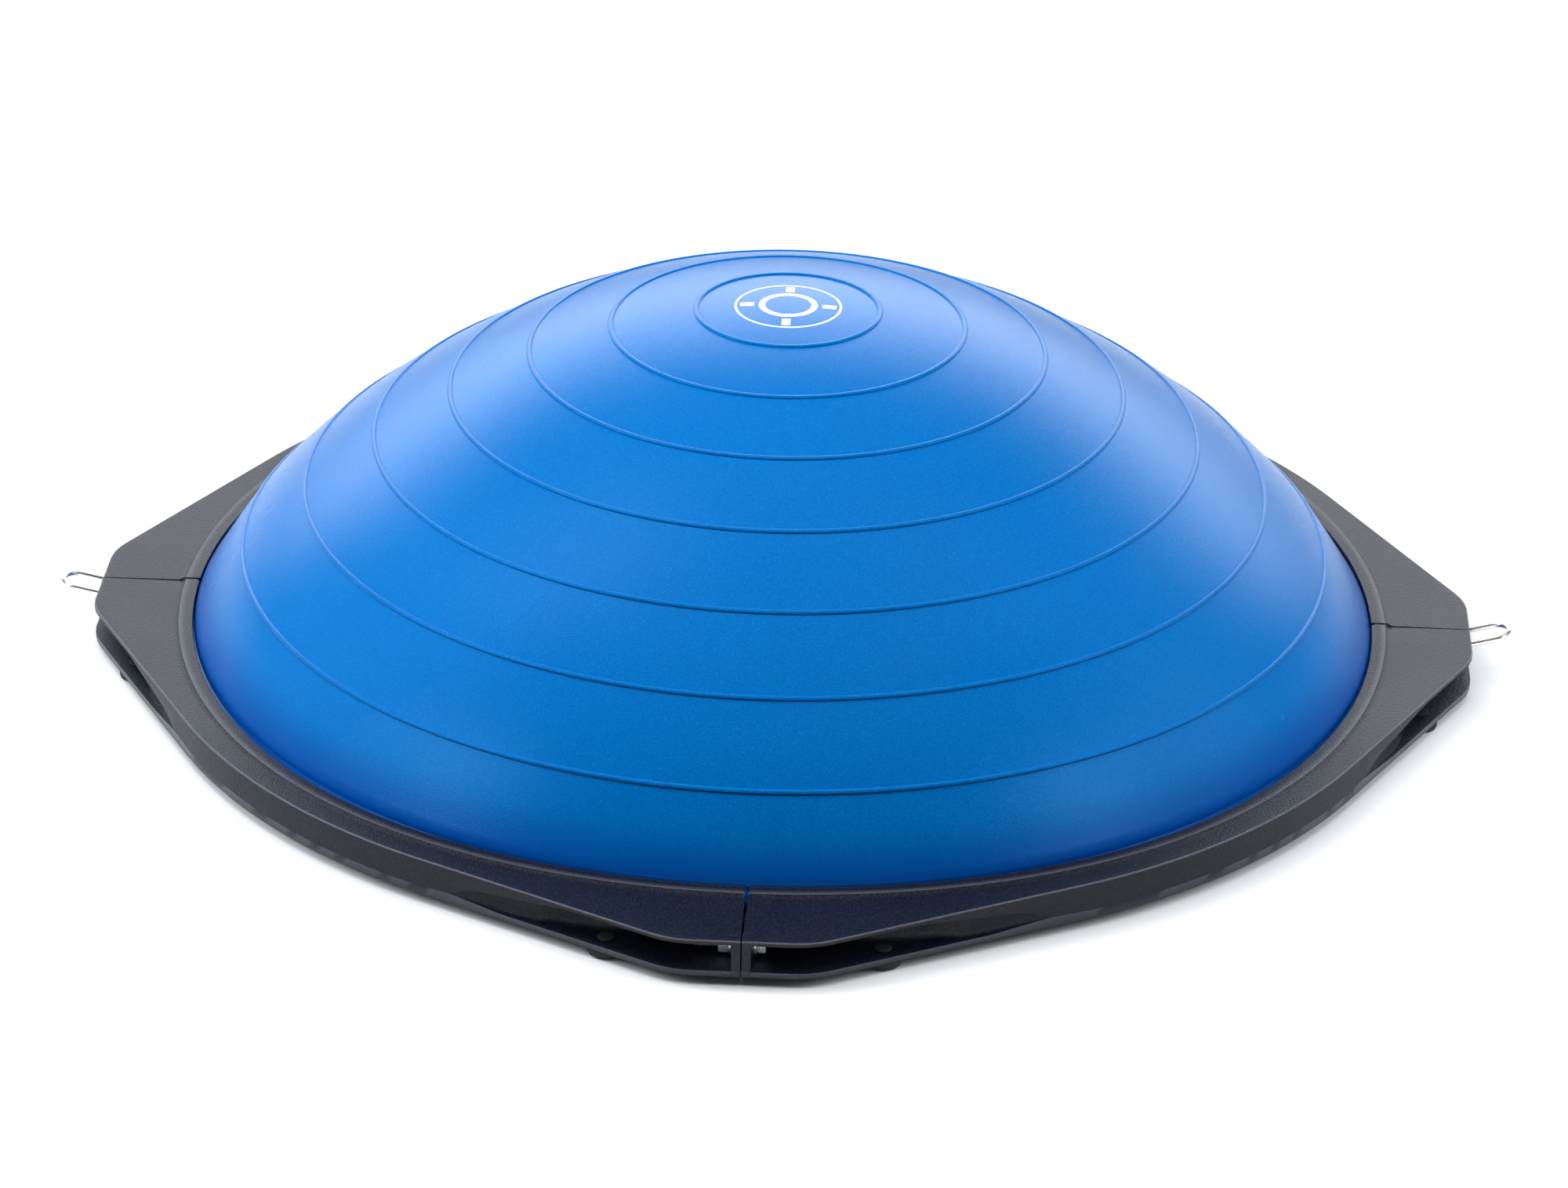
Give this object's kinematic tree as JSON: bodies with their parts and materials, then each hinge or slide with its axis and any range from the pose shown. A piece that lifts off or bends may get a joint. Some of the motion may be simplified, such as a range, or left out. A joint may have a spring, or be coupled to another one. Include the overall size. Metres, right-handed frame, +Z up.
{
  "type": "balance dome trainer",
  "caption": "Inflatable half-dome balance trainer: ribbed bladder on a round deck, clamped by a bolted four-part ring with corner hand slots and swivelling band loops.",
  "frame": {"origin": "on the floor under the centre of the dome, at the centre of the bounding box's bottom face", "axes": "+Z up; the four bolted corners of the ring lie on X and Y, and the two band loops point along -X and +X"},
  "size_m": [0.7587, 0.715, 0.1934],
  "materials": {
    "moulded_ring": "charcoal moulded plastic with a fine spark-eroded texture",
    "vinyl_dome": "satin blue PVC with a fine grain",
    "deck_plastic": "dark moulded plastic, fine textured",
    "valve_plastic": "off-white soft plastic",
    "zinc_steel": "bright zinc plate",
    "bright_wire": "bright nickel-plated wire",
    "foot_rubber": "matt black rubber"
  },
  "bodies": {
    "base": {"ring_front_right": "moulded_ring", "ring_back_right": "moulded_ring", "ring_back_left": "moulded_ring", "ring_front_left": "moulded_ring", "dome_bladder": "vinyl_dome", "deck": "deck_plastic", "valve_seat": "valve_plastic", "bolt_front": "zinc_steel", "nut_front": "zinc_steel", "washer_front_head": "zinc_steel", "washer_front_nut": "zinc_steel", "foot_front_a": "foot_rubber", "foot_front_b": "foot_rubber", "bolt_right": "zinc_steel", "nut_right": "zinc_steel", "washer_right_head": "zinc_steel", "washer_right_nut": "zinc_steel", "foot_right_a": "foot_rubber", "foot_right_b": "foot_rubber", "bolt_back": "zinc_steel", "nut_back": "zinc_steel", "washer_back_head": "zinc_steel", "washer_back_nut": "zinc_steel", "foot_back_a": "foot_rubber", "foot_back_b": "foot_rubber", "bolt_left": "zinc_steel", "nut_left": "zinc_steel", "washer_left_head": "zinc_steel", "washer_left_nut": "zinc_steel", "foot_left_a": "foot_rubber", "foot_left_b": "foot_rubber"},
    "left_loop": {"band_loop_left": "bright_wire"},
    "right_loop": {"band_loop_right": "bright_wire"},
    "plug": {"valve_plug": "valve_plastic"}
  },
  "joints": [
    {"name": "loop_left_swivel", "type": "hinge", "parent": "base", "child": "left_loop", "pos_m": [-0.34, 0, 0.0148], "axis": [0, 1, 0], "range_deg": [-28, 4]},
    {"name": "loop_right_swivel", "type": "hinge", "parent": "base", "child": "right_loop", "pos_m": [0.34, 0, 0.0148], "axis": [0, -1, 0], "range_deg": [-31, 1]},
    {"name": "valve_plug_pull", "type": "slide", "parent": "base", "child": "plug", "axis": [0, 0, -1], "range_m": [0, 0.005]}
  ]
}
